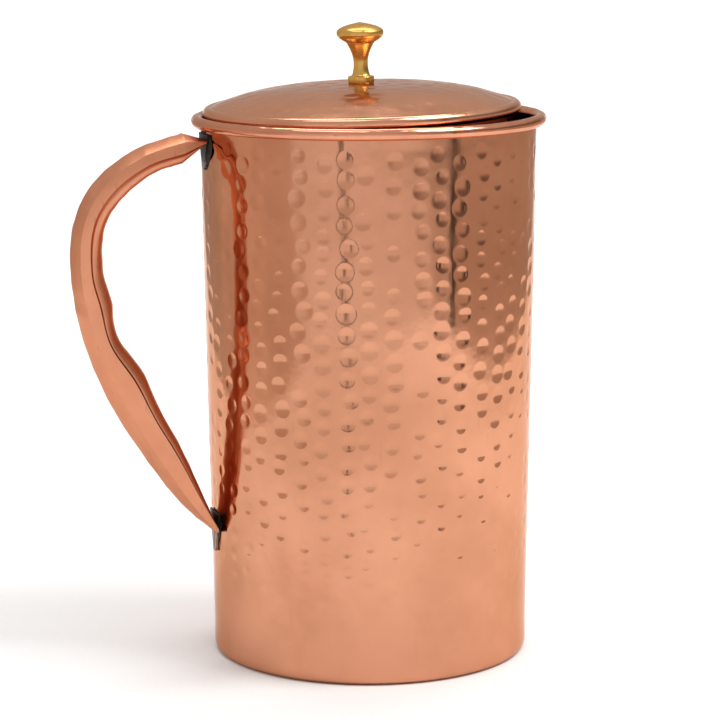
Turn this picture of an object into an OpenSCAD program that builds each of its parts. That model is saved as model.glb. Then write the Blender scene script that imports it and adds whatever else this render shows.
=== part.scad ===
// Hammered copper water jug with a loose lid and a turned brass knob.
// +Z is up, the handle is at -X and the pouring lip at +X.
// The origin is the centre of the underside, on the surface that the jug stands on.

/* [Body] */
// Height of the jug to the top of its rim bead, without the lid
body_h = 192; // [160:1:240]
// Outer diameter of the wall at its foot
foot_d = 112.2; // [95:0.1:135]
// Outer diameter of the wall at its rim
rim_d = 118.6; // [100:0.1:142]
// Thickness of the copper sheet of the wall
wall_t = 1; // [0.7:0.1:1.4]
// Outer radius of the turned-in bottom corner
corner_r = 2.5; // [2:0.1:4]
// Thickness of the flat base disc
base_t = 1.2; // [0.8:0.1:2]
// Width of the brazing gap between parts that are brazed together
braze_gap = 0.1; // [0.05:0.05:0.2]

/* [Rim and pouring lip] */
// Outer diameter of the rolled rim bead
bead_d = 4.2; // [3.6:0.1:5.5]
// Thickness of the sheet that is rolled into the bead
bead_t = 0.7; // [0.5:0.1:0.9]
// How far the mouth is drawn in at the front and at the back
mouth_draw = 3.2; // [2:0.1:4.5]
// How far below the rim the drawn-in shape begins
draw_depth = 70; // [40:1:100]
// How far the pouring lip is pulled outwards
lip_pull = 0.5; // [0.2:0.1:3]
// How far the pouring lip rises above the rest of the rim
lip_rise = 0.2; // [0:0.1:3]
// Half of the angle that the pouring lip takes up
lip_half_angle = 38; // [25:1:50]
// How far below the rim the pouring lip begins
lip_depth = 24; // [10:1:40]

/* [Lid] */
// How far the lid's edge reaches over the bead's inner edge at the front and at the back
lid_overlap = 0.8; // [0.4:0.1:1.5]
// Outer diameter of the lid's rolled edge
lid_roll_d = 4.4; // [3.6:0.1:5.5]
// Thickness of the lid's sheet
lid_t = 0.8; // [0.6:0.1:1.2]
// How far the lid's domed top rises above its edge
lid_crown = 7.3; // [3:0.1:10]
// Fullness of the dome: 2 is evenly curved, more is flatter on top and steeper at the edge
lid_fullness = 3.2; // [2:0.1:4]
// Tilt of the loose lid, whose lip side lies higher
lid_tilt = 1.3; // [0:0.1:1.5]
// Depth of the ring below the lid that keeps it in the mouth
lid_ring_depth = 9; // [6:0.5:14]
// Clearance between the lid's ring and the inner side of the lid's rolled edge
lid_ring_gap = 0.6; // [0.3:0.1:4]
// Gap between the lid's edge and the bead that it rests on
rest_gap = 0.08; // [0.05:0.01:0.2]

/* [Knob] */
// Height of the brass knob
knob_h = 21.2; // [16:0.1:28]
// Diameter of the knob's cap
knob_cap_d = 16.4; // [13:0.1:22]
// Diameter of the knob's waist
knob_waist_d = 5; // [4.8:0.1:7]
// Diameter of the collar at the lower end of the knob
knob_collar_d = 9.2; // [8:0.1:12]
// Diameter of the screw that holds the knob
screw_d = 3; // [2.5:0.1:3.5]
// How far the screw reaches up into the knob
screw_grip = 8; // [6:0.5:10]

/* [Handle] */
// How far the handle stands out from the wall
handle_reach = 48.6; // [38:0.1:56]
// How far below the rim bead the handle's upper end lies
handle_drop = 0.8; // [0.8:0.1:16]
// Height of the handle's lower end above the surface that the jug stands on
handle_foot_z = 45.5; // [34:0.5:60]
// Width of the handle across its flat side
handle_w = 17; // [14:0.5:22]
// Thickness of the handle's sheet
handle_t = 1; // [0.8:0.1:1.3]
// Height of each of the two finger rests on the handle's inner face
finger_rest_h = 1.9; // [0:0.1:3]
// Thickness of the tabs that join the handle to the wall
tab_t = 0.8; // [0.6:0.1:1.2]

/* [Hidden] */

copper = "#c98563";
bright_copper = "#d9946f";
inner_copper = "#a9532f";
spelter = "#b8924a";
brass = "#d8a641";
steel = "#9aa0a6";

// Number of facets round the mouth, which is drawn and so isn't a true circle
around = 72;
// Steps up the drawn-in part of the wall
wall_steps = 7;
// Steps round the turned-in bottom corner
corner_steps = 3;
$fn = 96;

foot_r = foot_d / 2;
rim_r = rim_d / 2;
bead_r = bead_d / 2;
bead_z = body_h - bead_r;
lid_roll_r = lid_roll_d / 2;
wall_foot_r = foot_r - corner_r;
// Width of a braze fillet's leg
braze_leg = 1.6;

// ---- Wall, mouth and lip ----

// Radius of the plain tapered wall's outside at height z
function taper_r(z) = foot_r + (rim_r - foot_r) * z / body_h;

// 0 below the top `depth` of the wall, growing smoothly to 1 at the bead
function swell(z, depth) = let (t = max(0, 1 - (bead_z - z) / depth)) t * t;

// 1 at the middle of the lip, 0 from its two ends onwards
function lip(a) = let (u = abs(a > 180 ? a - 360 : a) / lip_half_angle) u < 1 ? 1 - u * u : 0;

// Outside radius of the wall at angle a and height z
function wall_r(a, z) =
    taper_r(z) - mouth_draw * pow(sin(a), 2) * swell(z, draw_depth)
    + lip_pull * lip(a) * swell(z, lip_depth);

// Height that a point of the plain wall has once the lip has been raised
function wall_z(a, z) = z + lip_rise * lip(a) * swell(z, lip_depth);

// Radius of the centre line of the bead, whose inner edge is flush with the wall's inside
function bead_line_r(a) = wall_r(a, bead_z) - wall_t + bead_r;

// A point at angle a, radius r and height z
function polar(a, r, z) = [r * cos(a), r * sin(a), z];

// Closed outline of the wall at angle a, up its outside and down its inside
wall_end_z = bead_z - braze_gap;
wall_heights = [for (k = [0:wall_steps]) wall_end_z - draw_depth * pow(1 - k / wall_steps, 1.6)];
corner_angles = [for (k = [0:corner_steps]) -90 + 90 * k / corner_steps];
function wall_side(a, inset) = concat(
    [for (t = corner_angles)
        polar(a, wall_foot_r + (corner_r - inset) * cos(t), corner_r + (corner_r - inset) * sin(t))],
    [for (z = wall_heights)
        polar(a, wall_r(a, z) - inset, wall_z(a, z))]);
function reversed(list) = [for (k = [len(list) - 1:-1:0]) list[k]];
function wall_outline(a) = concat(wall_side(a, 0), reversed(wall_side(a, wall_t)));

// Arc of radius r round the bead's centre line at angle a, in the plane of that angle
function bead_arc(a, r, from, to, steps) =
    [for (k = [0:steps]) let (t = from + (to - from) * k / steps)
        polar(a, bead_line_r(a) + r * cos(t), bead_z + lip_rise * lip(a) + r * sin(t))];

// The roll starts just clear of the wall's outside and ends above the wall's top edge
roll_low_z = bead_z - sqrt(pow(bead_r, 2) - pow(bead_r - wall_t, 2));
function roll_from(a) =
    -acos((max(wall_r(a, roll_low_z), wall_r(a, bead_z)) - bead_line_r(a) + braze_gap) / bead_r);
function roll_outline(a) = concat(bead_arc(a, bead_r, roll_from(a), 180, 11),
                                  bead_arc(a, bead_r - bead_t, 180, roll_from(a), 11));

// Solid that joins a row of outlines, each with the same number of points.
// A closed row joins its last outline to its first; an open one is capped.
module loft(outlines, closed) {
    n = len(outlines[0]);
    m = len(outlines);
    sides = [for (i = [0:closed ? m - 1 : m - 2], j = [0:n - 1])
        let (a = i * n, b = ((i + 1) % m) * n, k = (j + 1) % n)
            each [[a + j, b + j, b + k], [a + j, b + k, a + k]]];
    // A capped outline runs along one side of a sheet and back along the other
    end = (m - 1) * n;
    caps = closed ? [] : [for (j = [0:n / 2 - 2]) let (k = n - 1 - j)
        each [[j, j + 1, k - 1], [j, k - 1, k],
              [end + j + 1, end + j, end + k - 1], [end + j, end + k, end + k - 1]]];
    polyhedron([for (outline = outlines) each outline], concat(sides, caps), convexity = 8);
}

angles = [for (k = [0:around - 1]) 360 * k / around];

module body_wall() {
    color(copper) loft([for (a = angles) wall_outline(a)], true);
}

module base_disc() {
    color(copper) cylinder(h = base_t, r = wall_foot_r - braze_gap);
}

// Fillet of braze inside, where the base disc meets the wall
module base_braze() {
    r = wall_foot_r + (corner_r - wall_t) * 0.4;
    color(spelter) rotate_extrude()
        polygon([[r - braze_leg, base_t], [r, base_t], [r, base_t + braze_leg * 0.6]]);
}

// Brazed joint that closes the wall, on the inside behind the handle
module wall_seam() {
    seam_w = 2.4;
    seam_t = 0.4;
    low = corner_r + base_t + 1;
    // The wall runs straight from its corner to where the mouth's draw begins
    draw_z = wall_heights[0];
    slope = (taper_r(draw_z) - foot_r) / (draw_z - corner_r);
    high = draw_z - corner_r;
    color(spelter) translate([-(foot_r + slope * (low - corner_r) - wall_t - braze_gap), 0, low])
        rotate([0, -atan(slope), 0])
            translate([0, -seam_w / 2, 0]) cube([seam_t, seam_w, high - low]);
}

// Sheet rolled round the rim wire
module rim_bead() {
    color(bright_copper) loft([for (a = angles) roll_outline(a)], true);
}

// Wire that just clears the wall's top edge and the inside of the bead
bead_wire_r = bead_r - max(bead_t, wall_t) - braze_gap;
module rim_wire() {
    color(steel) loft([for (a = angles) bead_arc(a, bead_wire_r, 0, 315, 7)], true);
}

// ---- Lid ----

// The lid's edge rests on the bead where the mouth is narrowest
mouth_side_r = bead_line_r(90) - bead_r;
lid_r = mouth_side_r + lid_overlap;
roll_line_r = lid_r - lid_roll_r;
// The loose lid lies towards the handle, its edge in line with the bead's inner edge
lid_shift = bead_line_r(180) - bead_r - lid_r;
// Radius at which the shifted centre line of the lid's roll crosses the direction a
function roll_reach(a) =
    -lid_shift * cos(a) + sqrt(pow(roll_line_r, 2) - pow(lid_shift * sin(a), 2));
contact = bead_r + lid_roll_r + rest_gap;
// Lowest places that the bead allows for the middle of the roll, one for each direction
// in which the roll lies over the bead
seats = [for (a = [0:3:180]) let (apart = bead_line_r(a) - roll_reach(a)) if (apart < contact)
    bead_z + lip_rise * lip(a) + sqrt(pow(contact, 2) - pow(apart, 2))
    - tan(lid_tilt) * (roll_reach(a) * cos(a) + lid_shift)];
roll_z = max(seats);

// The dome meets the roll a step below its crest
roll_step = 0.5;
// Inner radius of the roll, which just clears the wire inside it
wrap_r = lid_roll_r - lid_t;
wire_gap = 0.1;
// Where the roll ends, as an angle about its centre line
roll_to = -165;
dome_edge_z = roll_z + lid_roll_r - roll_step - lid_t;

// Height of the dome's underside at radius r from the lid's centre
function dome_under_z(r) = dome_edge_z + lid_crown * (1 - pow(r / roll_line_r, lid_fullness));
dome_top_z = dome_under_z(0) + lid_t;

// The lid's parts, which are drawn level, in their place
module on_lid() {
    translate([-lid_shift, 0, roll_z]) rotate([0, -lid_tilt, 0]) translate([0, 0, -roll_z])
        children();
}

// Outline points of an arc of the dome at height `lift` above its underside
function dome_arc(from, to, lift) =
    [for (k = [0:10]) let (r = from + (to - from) * k / 10) [r, dome_under_z(r) + lift]];

// Arc of radius r round the roll's centre line
function roll_arc(r, from, to, steps) =
    [for (k = [0:steps]) let (t = from + (to - from) * k / steps)
        [roll_line_r + r * cos(t), roll_z + r * sin(t)]];

// Angle about the roll's centre line at which the dome, lifted by `lift`, meets the circle
// of radius r. Each turn halves the span between low and high.
function roll_crossing(lift, r, low = 90, high = 180, turns = 24) =
    let (t = (low + high) / 2,
         over = roll_z + r * sin(t) - dome_under_z(roll_line_r + r * cos(t)) - lift)
    turns == 0 ? t
               : roll_crossing(lift, r, over > 0 ? t : low, over > 0 ? high : t, turns - 1);

// Domed sheet whose edge is rolled round the lid's wire, open below the dome
module lid_top() {
    hole_r = screw_d / 2 + hole_clearance;
    from_top = roll_crossing(lid_t, lid_roll_r);
    from_under = roll_crossing(0, wrap_r);
    color(copper) on_lid() rotate_extrude() polygon(concat(
        dome_arc(hole_r, roll_line_r + lid_roll_r * cos(from_top), lid_t),
        roll_arc(lid_roll_r, from_top, roll_to, 14),
        roll_arc(wrap_r, roll_to, from_under, 10),
        reversed(dome_arc(hole_r, roll_line_r + wrap_r * cos(from_under), 0))));
}

module lid_wire() {
    color(steel) on_lid() translate([0, 0, roll_z]) rotate_extrude()
        translate([roll_line_r, 0]) circle(r = wrap_r - wire_gap, $fn = 48);
}

// Ring under the lid that keeps it in the mouth
ring_r = lid_r - lid_roll_d - lid_ring_gap;
ring_top_z = dome_under_z(ring_r) - braze_gap;
ring_low_z = roll_z - lid_ring_depth;
module lid_ring() {
    color(copper) on_lid() translate([0, 0, ring_low_z]) difference() {
        cylinder(h = ring_top_z - ring_low_z, r = ring_r);
        translate([0, 0, -1]) cylinder(h = ring_top_z - ring_low_z + 2, r = ring_r - lid_t);
    }
}

// Fillet of braze inside the ring, under the dome
module lid_ring_braze() {
    r = ring_r - lid_t - braze_gap;
    color(spelter) on_lid() rotate_extrude()
        polygon([[r - braze_leg, ring_top_z], [r, ring_top_z], [r, ring_top_z - braze_leg]]);
}

// ---- Knob ----

// Gap between parts that are screwed together, and the screw's clearances
seat_gap = 0.05;
bore_clearance = 0.05;
hole_clearance = 0.2;
bore_end = 0.5;

// The knob's flat underside just clears the top of the dome
knob_z = dome_top_z + seat_gap;

// Points of a quarter of an ellipse that is level at [r0, z0] and upright at [r1, z1]
function quarter(r0, z0, r1, z1, steps) =
    [for (k = [0:steps]) let (t = 90 * k / steps)
        [r0 + (r1 - r0) * sin(t), z0 + (z1 - z0) * (1 - cos(t))]];

// Points of a flare that leaves [r0, z0] upright and leans ever more up to [r1, z1]
function flare(r0, z0, r1, z1, power, steps) =
    [for (k = [0:steps]) let (t = k / steps) [r0 + (r1 - r0) * pow(t, power), z0 + (z1 - z0) * t]];

// Turned knob: collar, waist, flared neck, and a lens-shaped cap with a low peak
module knob() {
    collar_r = knob_collar_d / 2;
    waist_r = knob_waist_d / 2;
    cap_r = knob_cap_d / 2;
    neck_r = cap_r * 0.6;
    edge = 0.3;
    collar_h = 2.4;
    waist_z = knob_h * 0.33;
    neck_z = knob_h * 0.66;
    cap_z = knob_h * 0.815;
    bore_r = screw_d / 2 + bore_clearance;
    color(brass) on_lid() translate([0, 0, knob_z]) difference() {
        rotate_extrude() polygon(concat(
            [[0, 0], [collar_r - edge, 0], [collar_r, edge], [collar_r, collar_h - edge],
             [collar_r - edge, collar_h]],
            quarter(collar_r - 3 * edge, collar_h, waist_r, waist_z, 6),
            flare(waist_r, waist_z + edge, neck_r, neck_z, 1.7, 7),
            [[neck_r - edge, neck_z + edge]],
            reversed(flare(cap_r, cap_z, neck_r + edge, neck_z + edge, 2, 5)),
            flare(cap_r, cap_z + edge, 0, knob_h, 2.4, 10)));
        translate([0, 0, -1]) cylinder(h = 1 + screw_grip + bore_end, r = bore_r);
    }
}

washer_r = 5;
washer_t = 0.8;
washer_top_z = dome_under_z(washer_r) - seat_gap;

module knob_washer() {
    color(steel) on_lid() translate([0, 0, washer_top_z - washer_t]) difference() {
        cylinder(h = washer_t, r = washer_r);
        translate([0, 0, -1]) cylinder(h = washer_t + 2, r = screw_d / 2 + hole_clearance);
    }
}

// Screw from below the lid, through the washer and the dome into the knob
module knob_screw() {
    head_r = screw_d * 0.95;
    head_h = screw_d * 0.6;
    slot_w = 0.8;
    slot_h = 0.8;
    seat_z = washer_top_z - washer_t - seat_gap;
    color(steel) on_lid() difference() {
        union() {
            translate([0, 0, seat_z - head_h]) cylinder(h = head_h, r = head_r);
            translate([0, 0, seat_z - head_h / 2])
                cylinder(h = knob_z + screw_grip - seat_z + head_h / 2, r = screw_d / 2);
        }
        translate([-head_r - 1, -slot_w / 2, seat_z - head_h - 1])
            cube([2 * head_r + 2, slot_w, slot_h + 1]);
    }
}

// ---- Handle ----

handle_top_z = bead_z - bead_r - handle_drop;
handle_rise = handle_top_z - handle_foot_z;

// A point of the handle's side view: s runs from its foot (0) to its top (1),
// e from the wall (0) to the handle's full reach (1)
function side_point(s, e) =
    let (z = handle_foot_z + s * handle_rise) [-(taper_r(z) + e * handle_reach), z];

// Where both ends of the handle lie on their tabs
root_e = (2 * braze_gap + tab_t) / handle_reach;

// Rows from the top end to the foot: the outer edge's s and e, the inner edge's s and e,
// where the seam between the shells lies from inner (0) to outer (1), and the width's share
handle_rows = [
    [0.985, root_e, 0.974, root_e, 0.40, 0.85],
    [1.000, 0.170, 0.928, 0.195, 0.38, 0.95],
    [0.965, 0.500, 0.903, 0.420, 0.42, 1.00],
    [0.892, 0.800, 0.846, 0.635, 0.46, 1.00],
    [0.785, 0.970, 0.775, 0.757, 0.50, 1.00],
    [0.652, 1.000, 0.657, 0.772, 0.48, 1.00],
    [0.508, 0.935, 0.539, 0.718, 0.40, 1.00],
    [0.346, 0.763, 0.403, 0.530, 0.32, 1.00],
    [0.170, 0.460, 0.237, 0.270, 0.28, 1.00],
    [0.060, 0.215, 0.117, 0.125, 0.30, 0.98],
    [0.000, root_e, 0.025, root_e, 0.35, 0.95]];

// Catmull-Rom blend of four values
function blend(a, b, c, d, t) =
    0.5 * (2 * b + (c - a) * t + (2 * a - 5 * b + 4 * c - d) * t * t
           + (3 * b - a - 3 * c + d) * t * t * t);

// Row of the handle at position p: the sharp end is straight, the rest is smooth
last_row = len(handle_rows) - 1;
function row_at(p) =
    let (i = min(floor(p), last_row - 1), t = p - i,
         before = handle_rows[max(i - 1, 1)], after = handle_rows[min(i + 2, last_row)])
    i < 1 ? handle_rows[0] * (1 - t) + handle_rows[1] * t
          : blend(before, handle_rows[i], handle_rows[i + 1], after, t);

// Finger rests: two rounded swellings on the inner face
rest_rows = [5.55, 6.95];
rest_half = 0.7;
function finger_rest(p) = finger_rest_h * max(0, max([for (q = rest_rows)
    let (u = (p - q) / rest_half) abs(u) < 1 ? pow(cos(90 * u), 2) : 0]));

// Squareness of the shells' crowns: 1 is an ellipse, less is squarer. The inner shell is
// square at the top of the handle and grows rounder from its third row to its fifth.
outer_power = 0.82;
function inner_power(p) = 0.45 + 0.4 * min(1, max(0, (p - 3) / 2));

// Half outline of a shell from its seam edge over its crown: [across, depth] in shares
crown_angles = [for (k = [0:8]) 22.5 * k];
function crown(power) = [for (t = crown_angles)
    [sign(cos(t)) * pow(abs(cos(t)), power), pow(sin(t), power)]];

// Closed outline of a sheet shell at position p of the handle. `side` is 1 for the outer
// shell and -1 for the inner one, and `inset` keeps the inner shell inside the outer's edges.
function shell_outline(p, side, inset) =
    let (row = row_at(p),
         outer = side_point(row[0], row[1]),
         inner_edge = side_point(row[2], row[3]),
         way = (outer - inner_edge) / norm(outer - inner_edge),
         inner = inner_edge - way * finger_rest(p),
         thick = norm(outer - inner),
         seam = row[4] * thick,
         half_w = handle_w * row[5] / 2 - inset,
         deep = side > 0 ? thick - seam : seam,
         t = min(handle_t, deep * 0.45),
         at = function (across, depth)
            let (q = inner + way * (seam + side * depth)) [q[0], across, q[1]],
         arc = crown(side > 0 ? outer_power : inner_power(p)))
    concat([for (c = arc) at(c[0] * half_w, c[1] * deep)],
           [for (c = reversed(arc)) at(c[0] * (half_w - t), c[1] * (deep - t))]);

handle_positions = concat([0, 0.5], [for (k = [0:29]) 1 + (last_row - 1) * k / 29]);
module handle_shell(side, inset) {
    loft([for (p = handle_positions) shell_outline(p, side, inset)], false);
}

module handle_outer_shell() {
    color(bright_copper) handle_shell(1, 0);
}

module handle_inner_shell() {
    color(inner_copper) handle_shell(-1, 0.35);
}

// Sheet of thickness `thick` that lies on the wall at the handle side, between heights low
// and high. Its outline is the child: across and up.
module on_wall(low, high, thick) {
    r_low = taper_r(low) + braze_gap;
    r_high = taper_r(high) + braze_gap;
    intersection() {
        translate([0, 0, low]) difference() {
            cylinder(h = high - low, r1 = r_low + thick, r2 = r_high + thick);
            translate([0, 0, -(high - low)]) cylinder(h = 3 * (high - low),
                r1 = 2 * r_low - r_high, r2 = 2 * r_high - r_low);
        }
        rotate([90, 0, -90]) linear_extrude(height = 2 * r_high) children();
    }
}

// Outline of a tab that is width_low wide at its lower end and width_high at its upper end
module tab_outline(low, high, width_low, width_high) {
    polygon([[-width_low / 2, low], [width_low / 2, low],
             [width_high / 2, high], [-width_high / 2, high]]);
}

tab_w = handle_w * 0.75;
tab_tip_w = 3;
top_tab_low = handle_top_z - 12;
top_tab_high = handle_top_z - 0.5;
foot_tab_low = handle_foot_z - 7;
foot_tab_high = handle_foot_z + 0.05 * handle_rise;
braze_edge = 1.2;

// Braze that has run out round a tab
module braze_run(low, high, width_low, width_high) {
    color(spelter) on_wall(low - braze_edge, high + braze_edge, tab_t / 2) difference() {
        offset(delta = braze_edge) tab_outline(low, high, width_low, width_high);
        offset(delta = braze_gap) tab_outline(low, high, width_low, width_high);
    }
}

// Tab between a shell's end and the wall
module handle_tab(low, high, width_low, width_high) {
    color(copper) on_wall(low, high, tab_t) tab_outline(low, high, width_low, width_high);
}

module handle_top_tab() {
    handle_tab(top_tab_low, top_tab_high, tab_tip_w, tab_w);
}

module handle_foot_tab() {
    handle_tab(foot_tab_low, foot_tab_high, tab_tip_w, tab_w);
}

module handle_top_braze() {
    braze_run(top_tab_low, top_tab_high, tab_tip_w, tab_w);
}

module handle_foot_braze() {
    braze_run(foot_tab_low, foot_tab_high, tab_tip_w, tab_w);
}

body_wall();
base_disc();
base_braze();
wall_seam();
rim_bead();
rim_wire();
handle_outer_shell();
handle_inner_shell();
handle_top_tab();
handle_foot_tab();
handle_top_braze();
handle_foot_braze();
lid_top();
lid_wire();
lid_ring();
lid_ring_braze();
knob();
knob_screw();
knob_washer();
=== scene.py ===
"""Looks of the hammered copper jug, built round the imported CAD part.

Metres, +Z up, handle at -X, pouring lip at +X, origin at the centre of the underside.
"""

import math

import bpy
import numpy as np
from mathutils import Matrix, Vector


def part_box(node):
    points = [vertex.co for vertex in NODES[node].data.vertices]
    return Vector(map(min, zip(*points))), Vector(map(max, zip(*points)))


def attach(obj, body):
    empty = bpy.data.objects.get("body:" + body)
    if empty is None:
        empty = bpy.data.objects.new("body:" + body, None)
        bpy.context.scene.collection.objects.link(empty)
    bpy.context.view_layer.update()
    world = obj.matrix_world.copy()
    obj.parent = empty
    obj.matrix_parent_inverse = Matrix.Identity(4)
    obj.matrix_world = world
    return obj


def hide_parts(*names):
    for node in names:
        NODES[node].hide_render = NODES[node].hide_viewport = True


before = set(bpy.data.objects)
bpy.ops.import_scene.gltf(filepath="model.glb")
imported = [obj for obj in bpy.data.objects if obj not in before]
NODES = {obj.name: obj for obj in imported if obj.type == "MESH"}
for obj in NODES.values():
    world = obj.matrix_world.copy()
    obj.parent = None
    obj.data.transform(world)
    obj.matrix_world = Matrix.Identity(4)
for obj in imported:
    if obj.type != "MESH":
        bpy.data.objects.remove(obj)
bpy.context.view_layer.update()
SCENE = bpy.context.scene
MM = 0.001
RNG = np.random.default_rng(7)


# ---- Sizes shared with the CAD part ----

BODY_H = 192 * MM
FOOT_R = 56.1 * MM
RIM_R = 59.3 * MM
WALL_T = 1 * MM
CORNER_R = 2.5 * MM
GAP = 0.1 * MM
BEAD_R = 2.1 * MM
BEAD_T = 0.7 * MM
MOUTH_DRAW = 3.2 * MM
DRAW_DEPTH = 70 * MM
LIP_PULL = 0.5 * MM
LIP_RISE = 0.2 * MM
LIP_HALF_ANGLE = math.radians(38)
LIP_DEPTH = 24 * MM
LID_ROLL_R = 2.2 * MM
LID_WRAP_R = 1.4 * MM
LID_T = 0.8 * MM
LID_CROWN = 7.3 * MM
LID_FULLNESS = 3.2
LID_TILT = math.radians(1.3)
LID_ROLL_STEP = 0.5 * MM
SCREW_HOLE_R = 1.7 * MM
SEAT_GAP = 0.05 * MM
KNOB_H = 21.2 * MM
KNOB_CAP_R = 8.2 * MM
KNOB_WAIST_R = 2.5 * MM
KNOB_COLLAR_R = 4.6 * MM
HANDLE_REACH = 48.6 * MM
HANDLE_TOP_Z = 187 * MM
HANDLE_FOOT_Z = 45.5 * MM
HANDLE_W = 17 * MM
HANDLE_T = 1 * MM
FINGER_REST_H = 1.9 * MM
TAB_T = 0.8 * MM

BEAD_Z = BODY_H - BEAD_R
LID_CENTRE_X = sum(c.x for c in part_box("lid_wire")) / 2
LID_ROLL_Z = sum(c.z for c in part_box("lid_wire")) / 2
LID_ROLL_LINE_R = (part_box("lid_top")[1].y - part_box("lid_top")[0].y) / 2 - LID_ROLL_R
DOME_EDGE_Z = LID_ROLL_Z + LID_ROLL_R - LID_ROLL_STEP - LID_T
KNOB_Z = DOME_EDGE_Z + LID_CROWN + LID_T + SEAT_GAP


# ---- Small helpers ----

def smooth(t):
    """0 below 0, 1 above 1, and level at both ends."""
    t = np.clip(t, 0, 1)
    return t * t * (3 - 2 * t)


def mesh_object(name, verts, faces, material, body, sharp=40):
    """A smooth-shaded mesh whose edges above `sharp` degrees stay crisp."""
    mesh = bpy.data.meshes.new(name)
    mesh.from_pydata(verts.tolist(), [], faces)
    mesh.validate()
    mesh.update()
    mesh.shade_smooth()
    mesh.set_sharp_from_angle(angle=math.radians(sharp))
    mesh.materials.append(material)
    obj = bpy.data.objects.new(name, mesh)
    SCENE.collection.objects.link(obj)
    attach(obj, body)
    return obj


def grid_faces(rows, cols, wrap_rows, wrap_cols):
    """Quads of a grid whose vertex (i, j) is i * cols + j."""
    i = np.arange(rows if wrap_rows else rows - 1)
    j = np.arange(cols if wrap_cols else cols - 1)
    i, j = (x.ravel() for x in np.meshgrid(i, j, indexing="ij"))
    i2, j2 = (i + 1) % rows, (j + 1) % cols
    return np.stack([i * cols + j, i2 * cols + j, i2 * cols + j2, i * cols + j2], 1).tolist()


def turned(r, z, a):
    """Points at radius r and height z round the lid's axis, one row for each angle of a."""
    r, z = (np.broadcast_to(x, (len(a), np.shape(x)[-1])) for x in (r, z))
    return np.stack([r * np.cos(a)[:, None], r * np.sin(a)[:, None], z], 2).reshape(-1, 3)


def on_lid(points):
    """The lid's points, made level round the Z axis, in their place on the jug."""
    c, s = math.cos(LID_TILT), math.sin(LID_TILT)
    x, up = points[:, 0], points[:, 2] - LID_ROLL_Z
    return np.stack([LID_CENTRE_X + c * x - s * up, points[:, 1], LID_ROLL_Z + s * x + c * up], 1)


# ---- Materials ----

class Nodes:
    """Builds a material's node tree a node at a time."""

    def __init__(self, name):
        self.material = bpy.data.materials.new(name)
        self.material.use_nodes = True
        self.tree = self.material.node_tree
        self.shader = self.tree.nodes["Principled BSDF"]
        self.place = self.add("ShaderNodeTexCoord").outputs["Object"]

    def add(self, kind, **values):
        node = self.tree.nodes.new(kind)
        for key, value in values.items():
            setattr(node, key, value)
        return node

    def link(self, source, socket):
        self.tree.links.new(source, socket)

    def stretched(self, scale):
        """The object's place with each axis scaled."""
        node = self.add("ShaderNodeMapping")
        node.inputs["Scale"].default_value = scale
        self.link(self.place, node.inputs["Vector"])
        return node.outputs["Vector"]

    def noise(self, scale, detail=3.0, roughness=0.5, distortion=0.0, at=None):
        """Noise with `scale` features per metre."""
        node = self.add("ShaderNodeTexNoise")
        node.inputs["Scale"].default_value = scale
        node.inputs["Detail"].default_value = detail
        node.inputs["Roughness"].default_value = roughness
        node.inputs["Distortion"].default_value = distortion
        self.link(at if at else self.place, node.inputs["Vector"])
        return node.outputs["Fac"]

    def span(self, value, low, high, out_low=0.0, out_high=1.0):
        """value taken from low..high to out_low..out_high, clamped."""
        node = self.add("ShaderNodeMapRange", interpolation_type="SMOOTHSTEP")
        for socket, number in zip(("From Min", "From Max", "To Min", "To Max"),
                                  (low, high, out_low, out_high)):
            node.inputs[socket].default_value = number
        self.link(value, node.inputs["Value"])
        return node.outputs["Result"]

    def maths(self, operation, a, b):
        node = self.add("ShaderNodeMath", operation=operation)
        for socket, value in zip(node.inputs, (a, b)):
            if isinstance(value, (int, float)):
                socket.default_value = value
            else:
                self.link(value, socket)
        return node.outputs[0]

    def mix(self, share, a, b):
        """Colours a and b mixed; each is a tuple or a socket."""
        node = self.add("ShaderNodeMix", data_type="RGBA")
        self.link(share, node.inputs["Factor"])
        for socket, value in ((node.inputs[6], a), (node.inputs[7], b)):
            if isinstance(value, tuple):
                socket.default_value = (*value, 1)
            else:
                self.link(value, socket)
        return node.outputs[2]

    def bump(self, height, distance, strength=1.0, under=None):
        node = self.add("ShaderNodeBump")
        node.inputs["Distance"].default_value = distance
        node.inputs["Strength"].default_value = strength
        self.link(height, node.inputs["Height"])
        if under:
            self.link(under, node.inputs["Normal"])
        return node.outputs["Normal"]

    def finish(self, colour, roughness, normal, metallic=1.0, edge_tint=(1, 1, 1, 1)):
        self.link(colour, self.shader.inputs["Base Color"])
        self.link(roughness, self.shader.inputs["Roughness"])
        self.link(normal, self.shader.inputs["Normal"])
        self.shader.inputs["Metallic"].default_value = metallic
        self.shader.inputs["Specular Tint"].default_value = edge_tint
        return self.material


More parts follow.
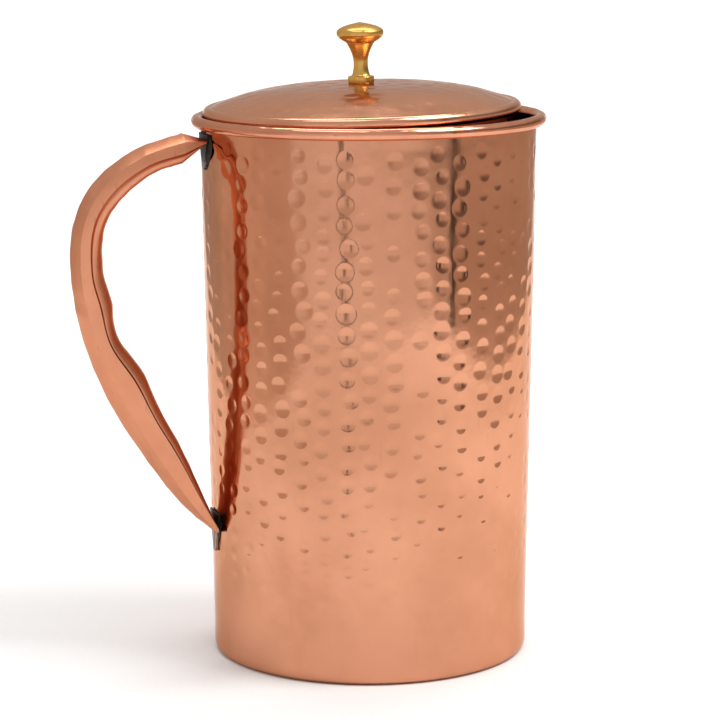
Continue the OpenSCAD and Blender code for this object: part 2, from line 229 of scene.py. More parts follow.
def metal(name, light, dark, stain, rough, streaks, grain=0.02 * MM, spots=0.0, scored=0.1):
    """Polished sheet metal: two tones, stains in patches, fine scratches along `streaks`."""
    n = Nodes(name)
    cloud = n.span(n.noise(22, 4, 0.6), 0.35, 0.68)
    fine = n.noise(900, 4, 0.65, at=n.stretched(streaks))
    scratches = n.span(fine, 0.60, 0.74)
    colour = n.mix(cloud, light, dark)
    tarnish = n.span(n.noise(70, 5, 0.7, 0.6), 0.60, 0.80)
    colour = n.mix(n.maths("MULTIPLY", tarnish, 0.35), colour, stain)
    colour = n.mix(n.maths("MULTIPLY", scratches, scored), colour, stain)
    if spots:
        speck = n.span(n.noise(420, 2, 0.5), 0.74, 0.80)
        colour = n.mix(n.maths("MULTIPLY", speck, spots), colour, stain)
    base = n.span(n.noise(55, 4, 0.6), 0.3, 0.75, rough[0], rough[1])
    roughness = n.maths("ADD", base, n.maths("MULTIPLY", scratches, 0.10))
    waves = n.bump(n.noise(130, 2, 0.5), 0.06 * MM)
    normal = n.bump(fine, grain, 0.6, under=waves)
    return n.finish(colour, roughness, normal, edge_tint=(0.86, 0.70, 0.60, 1))


LONG_UP = (1.0, 1.0, 0.06)
ROUND_Z = (1.0, 1.0, 14.0)

copper_wall = metal("hammered_copper", (0.66, 0.302, 0.180), (0.56, 0.246, 0.140),
                    (0.45, 0.18, 0.11), (0.08, 0.16), LONG_UP, spots=0.5)
copper_bead = metal("bead_copper", (0.74, 0.33, 0.20), (0.60, 0.25, 0.15),
                    (0.26, 0.11, 0.08), (0.12, 0.24), (1.0, 1.0, 1.0), spots=0.5)
copper_lid = metal("lid_copper", (0.70, 0.34, 0.21), (0.62, 0.28, 0.17),
                   (0.38, 0.17, 0.11), (0.15, 0.26), (1.0, 0.5, 1.0), spots=0.4)
copper_handle = metal("handle_copper", (0.72, 0.31, 0.18), (0.62, 0.25, 0.14),
                      (0.36, 0.14, 0.09), (0.30, 0.42), (0.35, 1.0, 0.10), spots=0.3, scored=0.5)
copper_inside = metal("inner_copper", (0.68, 0.25, 0.12), (0.56, 0.19, 0.09),
                      (0.28, 0.10, 0.05), (0.24, 0.38), (1.0, 1.0, 0.2), spots=0.3)
brass_turned = metal("turned_brass", (0.73, 0.45, 0.13), (0.64, 0.36, 0.09),
                     (0.42, 0.20, 0.05), (0.20, 0.32), ROUND_Z)
steel = metal("steel", (0.55, 0.55, 0.56), (0.45, 0.45, 0.46),
              (0.25, 0.22, 0.20), (0.25, 0.4), (1.0, 1.0, 1.0))
solder = metal("solder", (0.46, 0.42, 0.38), (0.30, 0.26, 0.23),
               (0.10, 0.07, 0.06), (0.35, 0.55), (0.4, 1.0, 3.0), grain=0.05 * MM, spots=0.9)


def shade_black_flux_material():
    """Flux on the wall behind the handle, black as painted shade between the handle's end and the
    wall: rough and crusty, with a few brown patches.
    """
    n = Nodes("flux_painted_shade")
    crust = n.noise(900, 6, 0.7)
    colour = n.mix(n.span(n.noise(300, 4, 0.6), 0.5, 0.72), (0.010, 0.008, 0.007),
                   (0.10, 0.045, 0.025))
    roughness = n.span(crust, 0.3, 0.7, 0.45, 0.85)
    return n.finish(colour, roughness, n.bump(crust, 0.15 * MM), metallic=0.2)


def tab_material(name, light, dark, shade_from_z):
    """Brazed tab with upright file marks, painted black from about the given height upwards:
    painted shade beside the handle's end.
    """
    n = Nodes(name)
    marks = n.noise(1500, 4, 0.6, at=n.stretched((1.0, 1.0, 0.08)))
    heights = n.add("ShaderNodeSeparateXYZ")
    n.link(n.place, heights.inputs[0])
    patches = n.maths("MULTIPLY", n.noise(260, 4, 0.6), 14 * MM)
    # Painted shade: black from the given height upwards, with a ragged edge
    painted_shade = n.span(n.maths("ADD", heights.outputs["Z"], patches), shade_from_z + 4 * MM, shade_from_z + 10 * MM)
    bare = n.mix(n.span(marks, 0.35, 0.65), light, dark)
    colour = n.mix(painted_shade, bare, (0.012, 0.010, 0.009))
    roughness = n.span(marks, 0.3, 0.7, 0.35, 0.6)
    return n.finish(colour, roughness, n.bump(marks, 0.08 * MM), metallic=0.7)


def floor_material():
    """Pale matt studio paper with a faint grain."""
    n = Nodes("floor_paper")
    fibres = n.noise(700, 4, 0.6)
    colour = n.mix(n.span(fibres, 0.3, 0.7), (0.86, 0.855, 0.85), (0.89, 0.885, 0.88))
    roughness = n.span(fibres, 0.3, 0.7, 0.7, 0.85)
    return n.finish(colour, roughness, n.bump(fibres, 0.01 * MM), metallic=0.0)


# Black flux: painted shade between the handle's ends and the wall
shade_black_flux = shade_black_flux_material()
# Each tab's part beside the handle's end is painted black as painted shade
top_tab = tab_material("top_tab_painted_shade", (0.50, 0.46, 0.42), (0.12, 0.10, 0.09), 178 * MM)
foot_tab = tab_material("foot_tab_painted_shade", (0.46, 0.31, 0.24), (0.24, 0.15, 0.11), 46 * MM)

# ---- Wall ----

def taper_r(z):
    return FOOT_R + (RIM_R - FOOT_R) * z / BODY_H


def swell(z, depth):
    t = np.maximum(0, 1 - (BEAD_Z - z) / depth)
    return t * t


def lip(a):
    """1 at the middle of the lip, 0 from its ends onwards."""
    u = np.abs((a + np.pi) % (2 * np.pi) - np.pi) / LIP_HALF_ANGLE
    return np.where(u < 1, 1 - u * u, 0)


def wall_r(a, z):
    return (taper_r(z) - MOUTH_DRAW * np.sin(a) ** 2 * swell(z, DRAW_DEPTH)
            + LIP_PULL * lip(a) * swell(z, LIP_DEPTH))


def wall_z(a, z):
    return z + LIP_RISE * lip(a) * swell(z, LIP_DEPTH)


DENT_COLUMNS = 44
DENT_PITCH = 7.45 * MM
DENTS_TOP = 184.5 * MM
DENTS_END = 22 * MM
DENT_RISE = 3.0 * MM
# A mark's radius at the foot and its gain upwards, and its depth there and its loss upwards, in mm
DENT_R, DENT_R_GAIN = 2.35, 0.55
DENT_DEPTH, DENT_DEPTH_LOSS = 0.27, 0.03
DENT_KEPT_SHARE = 0.94
DENT_LEAST_DEPTH = 0.01 * MM
# A mark's rounded edge: how far out its bowl is drawn, and how softly it runs out
DISH_EDGE, DISH_SOFTNESS = 1.06, 0.06
DISH_REACH = 1.15
# On the inside the marks are wider and shallower
INSIDE_SPREAD, INSIDE_SHARE = 1.35, 0.7
INSIDE_SINK = 0.05 * MM
SAG_DEPTH = 0.16 * MM
SAG_WAVES = 7
PHASE_END = 6.3
# The bead's unevenness: depth, waves round the rim, and the strength and count of their drift
BEAD_WAVES = ((0.10 * MM, 23, 2, 5), (0.05 * MM, 61, 1.5, 7))


def dents_on_wall():
    """Angle, height, radius and depth of every hammer mark on the wall."""
    marks = []
    for c in range(DENT_COLUMNS):
        start = DENT_PITCH * (0.5 * (c % 2) + RNG.normal(0, 0.13))
        drift = RNG.normal(0, 0.4) * MM
        z = DENTS_TOP - start + DENT_RISE * math.sin(2 * math.pi * c / DENT_COLUMNS)
        while z > DENTS_END:
            share = (z - DENTS_END) / (DENTS_TOP - DENTS_END)
            fade = smooth((share + 0.02) / 0.2)
            size = (DENT_R + DENT_R_GAIN * smooth(share * 1.3)) * MM * RNG.normal(1, 0.08)
            depth = (DENT_DEPTH - DENT_DEPTH_LOSS * share) * MM * RNG.uniform(0.65, 1.15) * fade
            a = 2 * math.pi * c / DENT_COLUMNS + (RNG.normal(0, 0.75 * MM) + drift) / RIM_R
            if RNG.random() < DENT_KEPT_SHARE and depth > DENT_LEAST_DEPTH and z < DENTS_TOP:
                marks.append((a, z + RNG.normal(0, 0.55 * MM), size, depth))
            z -= DENT_PITCH
    return np.array(marks)


def dented(a, z, marks, spread, share):
    """Depth of the hammer marks on the grid of angles a and heights z.

    `spread` widens every mark and `share` scales its depth.
    """
    depth = np.zeros((len(a), len(z)))
    for mark_a, mark_z, size, deep in marks:
        reach = size * spread
        rows = np.flatnonzero(np.abs(z - mark_z) < reach * DISH_REACH)
        across = (a - mark_a + np.pi) % (2 * np.pi) - np.pi
        cols = np.flatnonzero(np.abs(across) * RIM_R < reach * DISH_REACH)
        if len(rows) == 0 or len(cols) == 0:
            continue
        u = np.hypot(across[cols][:, None] * taper_r(mark_z), (z[rows] - mark_z)[None, :]) / reach
        dish = np.clip(DISH_EDGE - u * u, 0, None)
        dish = np.sqrt(dish * dish + DISH_SOFTNESS ** 2) - DISH_SOFTNESS
        patch = depth[np.ix_(cols, rows)]
        depth[np.ix_(cols, rows)] = np.maximum(patch, deep * share * np.clip(dish, 0, None))
    return depth


def uneven(a, z, size, count):
    """Soft unevenness that a raised and planished sheet keeps."""
    out = np.zeros((len(a), len(z)))
    for _ in range(count):
        turns = RNG.integers(2, 9)
        up = RNG.uniform(-60, 60)
        out += np.sin(turns * a[:, None] + up * z[None, :] + RNG.uniform(0, PHASE_END)) / count
    return out * size


def build_wall():
    """The hammered sheet: up its outside, down its inside, with the corner at its foot."""
    a = np.linspace(0, 2 * np.pi, 660, endpoint=False)
    t = np.linspace(-np.pi / 2, 0, 7)[:-1]
    z = np.concatenate([np.linspace(CORNER_R, DENTS_END, 12)[:-1],
                        np.linspace(DENTS_END, BEAD_Z - GAP, 318)])
    z_in = np.linspace(CORNER_R, BEAD_Z - GAP, 96)
    marks = dents_on_wall()
    fade = smooth((BEAD_Z - z) / (6 * MM)) * smooth((z - CORNER_R) / (8 * MM))
    sag = uneven(a, z, SAG_DEPTH, SAG_WAVES) * fade
    sag -= sag.max()
    outer = wall_r(a[:, None], z[None, :]) - dented(a, z, marks, 1, 1) + sag * fade
    sunk = dented(a, z_in, marks, INSIDE_SPREAD, INSIDE_SHARE) * smooth((BEAD_Z - z_in) / (6 * MM))
    inner = wall_r(a[:, None], z_in[None, :]) - WALL_T - sunk - INSIDE_SINK
    foot = FOOT_R - CORNER_R
    corner_out = (foot + CORNER_R * np.cos(t), CORNER_R + CORNER_R * np.sin(t))
    small = CORNER_R - WALL_T
    corner_in = (foot + small * np.cos(t), CORNER_R + small * np.sin(t))
    full = np.ones((len(a), 1))
    r = np.concatenate([full * corner_out[0], outer, inner[:, ::-1], full * corner_in[0][::-1]], 1)
    h = np.concatenate([full * corner_out[1], wall_z(a[:, None], z[None, :]),
                        wall_z(a[:, None], z_in[::-1][None, :]), full * corner_in[1][::-1]], 1)
    verts = np.stack([r * np.cos(a)[:, None], r * np.sin(a)[:, None], h], 2)
    faces = grid_faces(len(a), r.shape[1], True, True)
    obj = mesh_object("wall_hammered", verts.reshape(-1, 3), faces, copper_wall, "jug", 50)
    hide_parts("body_wall")


def build_bead():
    """The rim's roll of sheet, with the slight unevenness of a hand-rolled edge."""
    a = np.linspace(0, 2 * np.pi, 720, endpoint=False)
    line_r = wall_r(a, BEAD_Z) - WALL_T + BEAD_R
    low_z = BEAD_Z - math.sqrt(BEAD_R ** 2 - (BEAD_R - WALL_T) ** 2)
    start = -np.arccos((np.maximum(wall_r(a, low_z), wall_r(a, BEAD_Z)) - line_r + GAP) / BEAD_R)
    share = np.linspace(0, 1, 25)
    t = start[:, None] + (np.pi - start[:, None]) * share[None, :]
    dip = sum(deep * (0.5 + 0.5 * np.sin(waves * a + drift * np.sin(drifts * a)))[:, None]
              for deep, waves, drift, drifts in BEAD_WAVES)
    dip = dip * np.sin(np.pi * share)[None, :] ** 2
    centre_z = BEAD_Z + LIP_RISE * lip(a)

    def ring(radius):
        r = line_r[:, None] + radius * np.cos(t)
        return np.stack([r * np.cos(a)[:, None], r * np.sin(a)[:, None],
                         centre_z[:, None] + radius * np.sin(t)], 2)

    verts = np.concatenate([ring(BEAD_R - dip), ring(BEAD_R - BEAD_T + 0 * t)[:, ::-1]], 1)
    obj = mesh_object("bead_rolled", verts.reshape(-1, 3),
                      grid_faces(len(a), verts.shape[1], True, True), copper_bead, "jug", 50)
    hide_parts("rim_bead")


# ---- Lid ----

def dome_under_z(r):
    return DOME_EDGE_Z + LID_CROWN * (1 - (r / LID_ROLL_LINE_R) ** LID_FULLNESS)


def roll_crossing(lift, radius):
    """Angle about the roll's centre line at which the lifted dome meets a circle."""
    low, high = math.pi / 2, math.pi
    for _ in range(30):
        t = (low + high) / 2
        r = LID_ROLL_LINE_R + radius * math.cos(t)
        over = LID_ROLL_Z + radius * math.sin(t) - dome_under_z(r) - lift
        low, high = (t, high) if over > 0 else (low, t)
    return low


# The lid's marks lie in rings: first and last radius and the step between them, in mm
LID_RINGS = (10, 50, 7.6)
LID_DENT_PITCH = 8.6 * MM
LID_DENT_SCATTER = 0.9 * MM
# Least and greatest radius and depth of a mark, in mm
LID_DENT_R = (2.6, 3.9)
LID_DENT_DEPTH = (0.11, 0.28)
LID_EDGE_WOBBLE = 0.07 * MM


def dents_on_lid():
    """Angle, distance from the axis, radius and depth of the lid's soft hammer marks."""
    marks = []
    for ring, radius in enumerate(np.arange(*LID_RINGS) * MM):
        count = max(6, round(2 * math.pi * radius / LID_DENT_PITCH))
        for k in range(count):
            step = 2 * math.pi * (k + 0.5 * (ring % 2)) / count
            marks.append((step + RNG.normal(0, LID_DENT_SCATTER) / radius,
                          radius + RNG.normal(0, LID_DENT_SCATTER),
                          RNG.uniform(*LID_DENT_R) * MM,
                          RNG.uniform(*LID_DENT_DEPTH) * MM))
    return marks


def build_lid():
    """The dome from the screw's hole out, its rolled edge, and back along the underside."""
    top_from = roll_crossing(LID_T, LID_ROLL_R)
    under_from = roll_crossing(0, LID_WRAP_R)
    top_end = LID_ROLL_LINE_R + LID_ROLL_R * math.cos(top_from)
    under_end = LID_ROLL_LINE_R + LID_WRAP_R * math.cos(under_from)
    roll_end = math.radians(-165)
    a = np.linspace(0, 2 * np.pi, 540, endpoint=False)
    r_top = np.concatenate([np.linspace(SCREW_HOLE_R, 5 * MM, 4)[:-1],
                            np.linspace(5 * MM, top_end, 120)])
    x, y = np.outer(np.cos(a), r_top), np.outer(np.sin(a), r_top)
    z_top = dome_under_z(r_top)[None, :] + LID_T + 0 * x
    dip = np.zeros_like(x)
    for mark_a, mark_r, size, deep in dents_on_lid():
        u = np.hypot(x - mark_r * math.cos(mark_a), y - mark_r * math.sin(mark_a)) / size
        dip = np.maximum(dip, deep * np.clip(1 - u * u, 0, None) ** 1.3)
    z_top -= dip * smooth((top_end - r_top) / (2.5 * MM))[None, :]
    out = np.linspace(top_from, roll_end, 26)[1:]
    back = np.linspace(roll_end, under_from, 18)
    r_under = np.linspace(under_end, SCREW_HOLE_R, 30)[1:]
    z_under = dome_under_z(r_under)
    wobble = LID_EDGE_WOBBLE * (0.5 + 0.5 * np.sin(17 * a + 2 * np.sin(3 * a)))[:, None]
    wobble = wobble * np.sin(np.pi * np.linspace(0, 1, len(out)))[None, :]
    full = np.ones((len(a), 1))
    r = np.concatenate([full * r_top, LID_ROLL_LINE_R + (LID_ROLL_R - wobble) * np.cos(out),
                        full * (LID_ROLL_LINE_R + LID_WRAP_R * np.cos(back)), full * r_under], 1)
    z = np.concatenate([z_top, LID_ROLL_Z + (LID_ROLL_R - wobble) * np.sin(out),
                        full * (LID_ROLL_Z + LID_WRAP_R * np.sin(back)), full * z_under], 1)
    obj = mesh_object("lid_hammered", on_lid(turned(r, z, a)),
                      grid_faces(len(a), r.shape[1], True, True), copper_lid, "lid", 30)
    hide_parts("lid_top")


# ---- Knob ----

def quarter(r0, z0, r1, z1, steps):
    """Points of a quarter of an ellipse that is level at its start and upright at its end."""
    t = np.linspace(0, np.pi / 2, steps)
    return list(zip(r0 + (r1 - r0) * np.sin(t), z0 + (z1 - z0) * (1 - np.cos(t))))


def flare(r0, z0, r1, z1, power, steps):
    """Points of a flare that starts upright and leans ever more."""
    t = np.linspace(0, 1, steps)
    return list(zip(r0 + (r1 - r0) * t ** power, z0 + (z1 - z0) * t))


def build_knob():
    """The turned knob: collar, waist, flared neck and cap, on a blind bore."""
    neck_r = KNOB_CAP_R * 0.6
    edge, collar_h = 0.3 * MM, 2.4 * MM
    waist_z, neck_z, cap_z = KNOB_H * 0.33, KNOB_H * 0.66, KNOB_H * 0.815
    bore_r, bore_h = 1.55 * MM, 8.5 * MM
    axis_r = 0.02 * MM
    profile = ([(bore_r, 0), (KNOB_COLLAR_R - edge, 0)]
               + quarter(KNOB_COLLAR_R - edge, 0, KNOB_COLLAR_R, edge, 5)[1:]
               + quarter(KNOB_COLLAR_R - edge, collar_h, KNOB_COLLAR_R, collar_h - edge, 5)[::-1]
               + quarter(KNOB_COLLAR_R - 3 * edge, collar_h, KNOB_WAIST_R, waist_z, 14)
               + flare(KNOB_WAIST_R, waist_z + edge, neck_r, neck_z, 1.7, 18)
               + [(neck_r, neck_z + edge / 2), (neck_r - edge, neck_z + edge)]
               + flare(KNOB_CAP_R, cap_z, neck_r + edge, neck_z + edge, 2, 16)[::-1]
               + flare(KNOB_CAP_R, cap_z + edge, axis_r, KNOB_H, 2.4, 30)
               + [(axis_r, bore_h + 0.4 * MM), (bore_r, bore_h)])
    r, z = np.array(profile).T
    a = np.linspace(0, 2 * np.pi, 128, endpoint=False)
    obj = mesh_object("knob_turned", on_lid(turned(r, z + KNOB_Z, a)),
                      grid_faces(len(a), len(r), True, True), brass_turned, "lid", 32)
    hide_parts("knob")


# ---- Handle ----

ROOT_E = (2 * GAP + TAB_T) / HANDLE_REACH
# Rows from the top end to the foot, as in the CAD part: outer edge's s and e, inner edge's s
# and e, the seam's place from inner (0) to outer (1), and the width's share
HANDLE_ROWS = np.array([
    [0.985, ROOT_E, 0.974, ROOT_E, 0.40, 0.85],
    [1.000, 0.170, 0.928, 0.195, 0.38, 0.95],
    [0.965, 0.500, 0.903, 0.420, 0.42, 1.00],
    [0.892, 0.800, 0.846, 0.635, 0.46, 1.00],
    [0.785, 0.970, 0.775, 0.757, 0.50, 1.00],
    [0.652, 1.000, 0.657, 0.772, 0.48, 1.00],
    [0.508, 0.935, 0.539, 0.718, 0.40, 1.00],
    [0.346, 0.763, 0.403, 0.530, 0.32, 1.00],
    [0.170, 0.460, 0.237, 0.270, 0.28, 1.00],
    [0.060, 0.215, 0.117, 0.125, 0.30, 0.98],
    [0.000, ROOT_E, 0.025, ROOT_E, 0.35, 0.95]])
# The finger rests' places and half length, counted in rows
REST_ROWS = (5.55, 6.95)
REST_HALF = 0.7
# How square the outer shell's outline is: 1 is an ellipse, less is squarer
OUTER_POWER = 0.82
# The ridge along each side of the outer shell: where it lies, in shares of the half width and
# of the depth, at which angle of the outline, and how flat the faces beside it are
RIDGE_ACROSS, RIDGE_DEPTH = 0.96, 0.64
RIDGE_ANGLE = math.radians(31.5)
RIDGE_FLATNESS = 0.65
# How far the inner shell's edges turn in where they meet the outer shell
SEAM_GROOVE = 0.8 * MM


def handle_row(p):
    """The row at position p, on a smooth curve through the given rows."""
    last = len(HANDLE_ROWS) - 1
    i = min(int(p), last - 1)
    t = p - i
    b, c = HANDLE_ROWS[i], HANDLE_ROWS[i + 1]
    if i < 1:
        return b * (1 - t) + c * t
    a, d = HANDLE_ROWS[max(i - 1, 1)], HANDLE_ROWS[min(i + 2, last)]
    return 0.5 * (2 * b + (c - a) * t + (2 * a - 5 * b + 4 * c - d) * t * t
                  + (3 * b - a - 3 * c + d) * t * t * t)


def side_point(s, e):
    """x and z of the point at share s of the handle's rise and share e of its reach."""
    z = HANDLE_FOOT_Z + s * (HANDLE_TOP_Z - HANDLE_FOOT_Z)
    return np.array([-(taper_r(z) + e * HANDLE_REACH), z])


def finger_rest(p):
    """How far the inner half stands out towards the fingers at position p."""
    bumps = [math.cos(math.pi / 2 * (p - q) / REST_HALF) ** 2
             for q in REST_ROWS if abs(p - q) < REST_HALF]
    return FINGER_REST_H * max(bumps, default=0)


def shell_outline(p, side, inset, steps):
    """Outline of a shell at position p: over its outside, then back along its inside.

    `side` is 1 for the outer shell and -1 for the inner one.
    """
    row = handle_row(p)
    outer, inner_edge = side_point(row[0], row[1]), side_point(row[2], row[3])
    way = (outer - inner_edge) / np.linalg.norm(outer - inner_edge)
    inner = inner_edge - way * finger_rest(p)
    thick = np.linalg.norm(outer - inner)
    seam = row[4] * thick
    half_w = HANDLE_W * row[5] / 2 - inset
    deep = thick - seam if side > 0 else seam
    sheet = min(HANDLE_T, deep * 0.45)
    angle = np.linspace(0, np.pi, steps)
    power = OUTER_POWER if side > 0 else 0.45 + 0.4 * min(1, max(0, (p - 3) / 2))
    across = np.sign(np.cos(angle)) * np.abs(np.cos(angle)) ** power
    depth = np.sin(angle) ** power
    if side > 0:
        knots = [0, RIDGE_ANGLE, np.pi - RIDGE_ANGLE, np.pi]
        flat_across = np.interp(angle, knots, [1, RIDGE_ACROSS, -RIDGE_ACROSS, -1])
        knots.insert(2, np.pi / 2)
        flat_depth = np.interp(angle, knots, [0, RIDGE_DEPTH, 1, RIDGE_DEPTH, 0])
        across += RIDGE_FLATNESS * (flat_across - across)
        depth += RIDGE_FLATNESS * (flat_depth - depth)
    else:
        across[[0, -1]] *= 1 - SEAM_GROOVE / half_w

    def at(x, d):
        q = inner[None, :] + way[None, :] * (seam + side * d)[:, None]
        return np.stack([q[:, 0], x, q[:, 1]], 1)

    dent = 0.10 * MM * (np.sin(9.1 * p + 2.2 * np.cos(angle)) + np.sin(4.3 * p + 1)) * np.sin(angle)
    outside = at(across * half_w, depth * deep - np.abs(dent) * (p > 1))
    inside = at(across * (half_w - sheet), depth * (deep - sheet))[::-1]
    return np.concatenate([outside, inside])


def build_shell(name, node, side, inset, material):
    """One half of the hollow handle, capped at both ends."""
    steps = 41
    places = np.concatenate([np.linspace(0, 1, 12)[:-1], np.linspace(1, len(HANDLE_ROWS) - 1, 230)])
    outlines = np.array([shell_outline(p, side, inset, steps) for p in places])
    count = outlines.shape[1]
    faces = grid_faces(len(places), count, False, True)
    for first in (0, (len(places) - 1) * count):
        for j in range(steps - 1):
            k = count - 1 - j
            quad = [first + j, first + j + 1, first + k - 1, first + k]
            faces.append(quad if first == 0 else quad[::-1])
    obj = mesh_object(name, outlines.reshape(-1, 3), faces, material, "jug", 30)
    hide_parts(node)


# A run of flux: its least height off the wall, how far it bulges, and its gap to the wall
FLUX_EDGE_H = 0.12 * MM
FLUX_BULGE = 0.35 * MM
FLUX_GAP = 0.02 * MM


def blob(name, node, low, high, half_low, half_high, seed):
    """Irregular run of flux on the wall behind the handle, from height low to high, black as
    painted shade.
    """
    rng = np.random.default_rng(seed)
    turns, rings = 72, 12
    t = np.linspace(0, 2 * np.pi, turns, endpoint=False)
    edge = 1 + sum(rng.uniform(0.02, 0.07) * np.sin(k * t + rng.uniform(0, PHASE_END))
                   for k in range(2, 9))
    rho = np.linspace(1, 0.02, rings)
    v = (low + high) / 2 + np.outer(np.sin(t) * edge, rho) * (high - low) / 2
    share = (v - low) / (high - low)
    u = np.outer(np.cos(t) * edge, rho) * (half_low + (half_high - half_low) * share)
    lumps = (1 + 0.25 * np.sin(900 * u + 3) * np.sin(1100 * v + 1)
             + 0.15 * np.sin(2300 * v + 700 * u))
    height = FLUX_EDGE_H + FLUX_BULGE * lumps * (1 - rho[None, :] ** 2) ** 0.5

    def on_wall(out):
        r = taper_r(v) + FLUX_GAP + out
        return np.stack([-r * np.cos(u / r), r * np.sin(u / r), v], 2)

    verts = np.concatenate([on_wall(height), on_wall(0 * height)[:, ::-1]], 1)
    # Black: painted shade where the handle's end meets the wall
    obj = mesh_object(name, verts.reshape(-1, 3), grid_faces(turns, 2 * rings, True, True),
                      shade_black_flux, "jug", 60)
    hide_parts(node)


build_wall()
build_bead()
build_lid()
build_knob()
build_shell("handle_outer_half", "handle_outer_shell", 1, 0, copper_handle)
build_shell("handle_inner_half", "handle_inner_shell", -1, 0.6 * MM, copper_handle)
top_box, foot_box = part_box("handle_top_braze"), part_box("handle_foot_braze")
blob("top_flux_painted_shade", "handle_top_braze", top_box[0].z, top_box[1].z, 3 * MM, 12 * MM, seed=3)
blob("foot_flux_painted_shade", "handle_foot_braze", foot_box[0].z + 4 * MM, foot_box[1].z - 2 * MM,
     4 * MM, 9 * MM, seed=5)

# Pieces of the CAD part that stay as they are, with the material of each
KEPT = {"base_disc": copper_wall, "base_braze": solder, "wall_seam": solder,
        "rim_wire": steel, "handle_top_tab": top_tab, "handle_foot_tab": foot_tab,
        "lid_wire": steel, "lid_ring": copper_inside, "lid_ring_braze": solder,
        "knob_screw": steel, "knob_washer": steel}
for node, material in KEPT.items():
    mesh = NODES[node].data
    if mesh.materials:
        for k in range(len(mesh.materials)):
            mesh.materials[k] = material
    else:
        mesh.materials.append(material)


# ---- Floor, light and camera ----

CAMERA_TURN = math.radians(17)
CAMERA_DISTANCE = 971 * MM
CAMERA_HEIGHT = 280 * MM
AIM_RIGHT = -3.25 * MM
AIM_HEIGHT = 103.8 * MM
CAMERA_ROLL = math.radians(0.2)
FIELD_OF_VIEW = math.radians(14.83)

towards_camera = Vector((-math.sin(CAMERA_TURN), -math.cos(CAMERA_TURN), 0))
camera_right = Vector((math.cos(CAMERA_TURN), -math.sin(CAMERA_TURN), 0))


def from_camera(out, right, up):
    """A place that is `out` towards the camera from the jug and `right` to its right."""
    return towards_camera * out + camera_right * right + Vector((0, 0, up))


# The paper's reach in front of and behind the jug, its half widths at the front to the left and
# to the right and at the back, the radius of its bend and the height of its top edge
PAPER_FRONT, PAPER_BACK = 0.62, 1.5
PAPER_LEFT, PAPER_RIGHT, PAPER_HALF_BACK = 0.42, 0.60, 0.46
PAPER_BEND, PAPER_TOP = 0.15, 0.26


def build_floor():
    """A sheet of pale paper that lies under the jug and curves up behind it."""
    turns = np.linspace(0, math.pi / 2, 17)
    run = [(PAPER_FRONT, 0.0)]
    run += [(-PAPER_BACK + PAPER_BEND - PAPER_BEND * math.sin(t),
             PAPER_BEND - PAPER_BEND * math.cos(t)) for t in turns]
    run.append((-PAPER_BACK, PAPER_TOP))
    verts = []
    for out, up in run:
        share = (out + PAPER_BACK) / (PAPER_FRONT + PAPER_BACK)
        for way, half_front in ((-1, PAPER_LEFT), (1, PAPER_RIGHT)):
            side = way * (PAPER_HALF_BACK + (half_front - PAPER_HALF_BACK) * share)
            verts.append(tuple(from_camera(out, side, up)))
    faces = [(2 * k, 2 * k + 1, 2 * k + 3, 2 * k + 2) for k in range(len(run) - 1)]
    mesh = bpy.data.meshes.new("studio_floor")
    mesh.from_pydata(verts, [], faces)
    mesh.shade_smooth()
    mesh.materials.append(floor_material())
    obj = bpy.data.objects.new("studio_floor", mesh)
    SCENE.collection.objects.link(obj)


def area_light(name, place, aim, width, height, power):
    """A white rectangular lamp of `power` watts that faces `aim`."""
    light = bpy.data.lights.new(name, "AREA")
    light.shape = "RECTANGLE"
    light.size, light.size_y = width, height
    light.energy = power
    obj = bpy.data.objects.new(name, light)
    obj.location = place
    obj.rotation_mode = "QUATERNION"
    obj.rotation_quaternion = (aim - place).to_track_quat("-Z", "Y")
    SCENE.collection.objects.link(obj)


# Brightness of the studio's ceiling, as the metal sees it
CEILING = 0.68


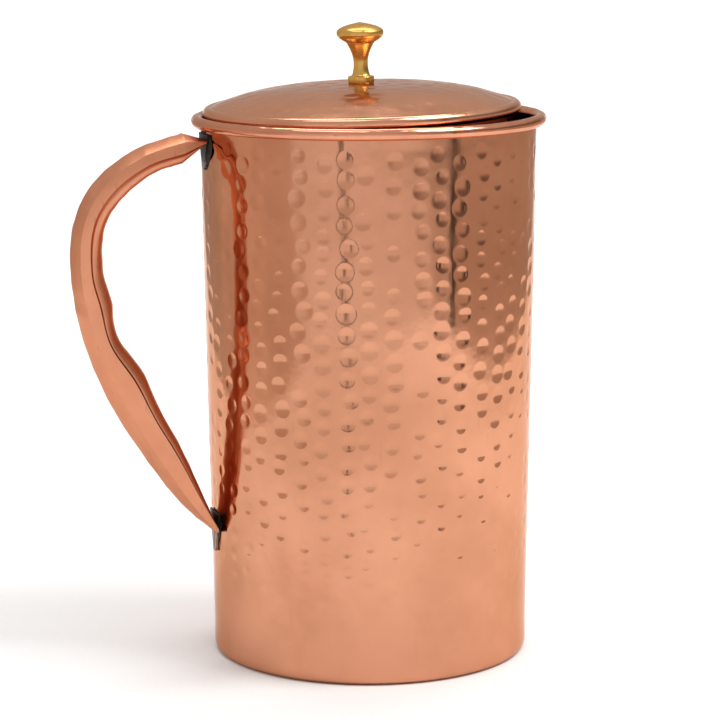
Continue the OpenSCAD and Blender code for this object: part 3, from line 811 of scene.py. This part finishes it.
def build_world():
    """A studio whose walls are pale in front and dimmer round the back, and white to the camera.

    Colours go by the direction's turn from the camera's side, in degrees to the right.
    """
    world = bpy.data.worlds.new("studio")
    SCENE.world = world
    world.use_nodes = True
    tree = world.node_tree
    background = tree.nodes["Background"]
    way = tree.nodes.new("ShaderNodeTexCoord").outputs["Generated"]

    def dot(axis):
        """Share of the direction along an axis."""
        node = tree.nodes.new("ShaderNodeVectorMath")
        node.operation = "DOT_PRODUCT"
        tree.links.new(way, node.inputs[0])
        node.inputs[1].default_value = axis
        return node.outputs["Value"]

    turn = tree.nodes.new("ShaderNodeMath")
    turn.operation = "ARCTAN2"
    tree.links.new(dot(camera_right), turn.inputs[0])
    tree.links.new(dot(towards_camera), turn.inputs[1])
    span = tree.nodes.new("ShaderNodeMapRange")
    span.inputs["From Min"].default_value, span.inputs["From Max"].default_value = -math.pi, math.pi
    tree.links.new(turn.outputs[0], span.inputs["Value"])

    def ramp(stops, fac):
        """Colour at `fac` between the stops, each a place from 0 to 1 and a colour."""
        node = tree.nodes.new("ShaderNodeValToRGB")
        node.color_ramp.interpolation = "LINEAR"
        while len(node.color_ramp.elements) > 1:
            node.color_ramp.elements.remove(node.color_ramp.elements[-1])
        for k, (place, colour) in enumerate(stops):
            e = node.color_ramp.elements[0] if k == 0 else node.color_ramp.elements.new(place)
            e.position, e.color = place, (*colour, 1)
        tree.links.new(fac, node.inputs[0])
        return node.outputs[0]

    def grey(v, warm=0.0):
        """Grey of brightness v, turning brown as warm goes to 1."""
        return (v, v * (1 - 0.25 * warm), v * (1 - 0.45 * warm))

    def degrees(stops):
        return [((d + 180) / 360, c) for d, c in stops]

    # What the metal sees at its own level and below, with two dark posts
    level = ramp(degrees([(-180, grey(0.56)), (-140, grey(0.56)), (-112, grey(0.76, 0.4)),
                          (-88, grey(0.84, 0.5)), (-72, grey(0.74, 0.5)), (-52, grey(0.74, 0.5)),
                          (-44, grey(0.94)), (-17, grey(1.0)), (-16, grey(0.10)),
                          (-13.6, grey(0.12)), (-12.8, grey(1.0)), (34, grey(1.0)),
                          (50, grey(0.70, 0.3)), (56, grey(0.82)), (57, grey(0.05)),
                          (61.5, grey(0.06)), (63, grey(0.66, 0.5)), (100, grey(0.62, 0.5)),
                          (135, grey(0.58, 0.4)), (165, grey(0.60)), (180, grey(0.60))]),
                 span.outputs[0])
    # What it sees above that
    room = ramp(degrees([(-180, grey(0.56)), (-110, grey(0.64, 0.3)), (-88, grey(0.74, 0.5)),
                         (-60, grey(0.64, 0.6)), (-40, grey(0.80, 0.2)), (20, grey(0.78, 0.2)),
                         (44, grey(0.40, 0.4)), (54, grey(0.24, 0.5)), (140, grey(0.22, 0.5)),
                         (165, grey(0.56)), (180, grey(0.56))]), span.outputs[0])

    def above(low, high, under, over):
        """`under` changing to `over` where the direction's height grows from low to high."""
        rise = tree.nodes.new("ShaderNodeMapRange")
        rise.interpolation_type = "SMOOTHSTEP"
        rise.inputs["From Min"].default_value, rise.inputs["From Max"].default_value = low, high
        tree.links.new(dot((0, 0, 1)), rise.inputs["Value"])
        mix = tree.nodes.new("ShaderNodeMix")
        mix.data_type = "RGBA"
        tree.links.new(rise.outputs[0], mix.inputs["Factor"])
        tree.links.new(under, mix.inputs[6])
        if isinstance(over, tuple):
            mix.inputs[7].default_value = (*over, 1)
        else:
            tree.links.new(over, mix.inputs[7])
        return mix.outputs[2]

    sky = above(0.18, 0.50, above(-0.05, 0.08, level, room), grey(CEILING))
    backdrop = tree.nodes.new("ShaderNodeMix")
    backdrop.data_type = "RGBA"
    backdrop.inputs[7].default_value = (1, 1, 1, 1)
    tree.links.new(tree.nodes.new("ShaderNodeLightPath").outputs["Is Camera Ray"],
                   backdrop.inputs["Factor"])
    tree.links.new(sky, backdrop.inputs[6])
    tree.links.new(backdrop.outputs[2], background.inputs["Color"])
    background.inputs["Strength"].default_value = 1.0


def build_camera():
    """The photo's camera: a pinhole fitted to the jug's edges."""
    place = from_camera(CAMERA_DISTANCE, 0, CAMERA_HEIGHT)
    forward = (from_camera(0, AIM_RIGHT, AIM_HEIGHT) - place).normalized()
    right = forward.cross(Vector((0, 0, 1))).normalized()
    up = right.cross(forward)
    turned_right = right * math.cos(CAMERA_ROLL) - up * math.sin(CAMERA_ROLL)
    turned_up = right * math.sin(CAMERA_ROLL) + up * math.cos(CAMERA_ROLL)
    camera = bpy.data.cameras.new("camera")
    camera.sensor_fit = "HORIZONTAL"
    camera.angle = FIELD_OF_VIEW
    camera.dof.use_dof = False
    camera.clip_start, camera.clip_end = 0.05, 20
    obj = bpy.data.objects.new("camera", camera)
    obj.matrix_world = Matrix.Translation(place) @ Matrix(
        (turned_right, turned_up, -forward)).transposed().to_4x4()
    SCENE.collection.objects.link(obj)
    SCENE.camera = obj


build_floor()
build_world()
build_camera()
middle = Vector((0, 0, 0.1))
area_light("key", from_camera(0.3, 0.9, 1.4), middle, 0.8, 0.8, 17)
area_light("fill", from_camera(0.5, -0.3, 1.6), middle, 0.9, 0.5, 3.5)
area_light("back", from_camera(-0.65, 0.0, 1.7), from_camera(-1.5, 0, 0), 1.4, 0.6, 16)
SCENE.view_settings.view_transform = "Standard"
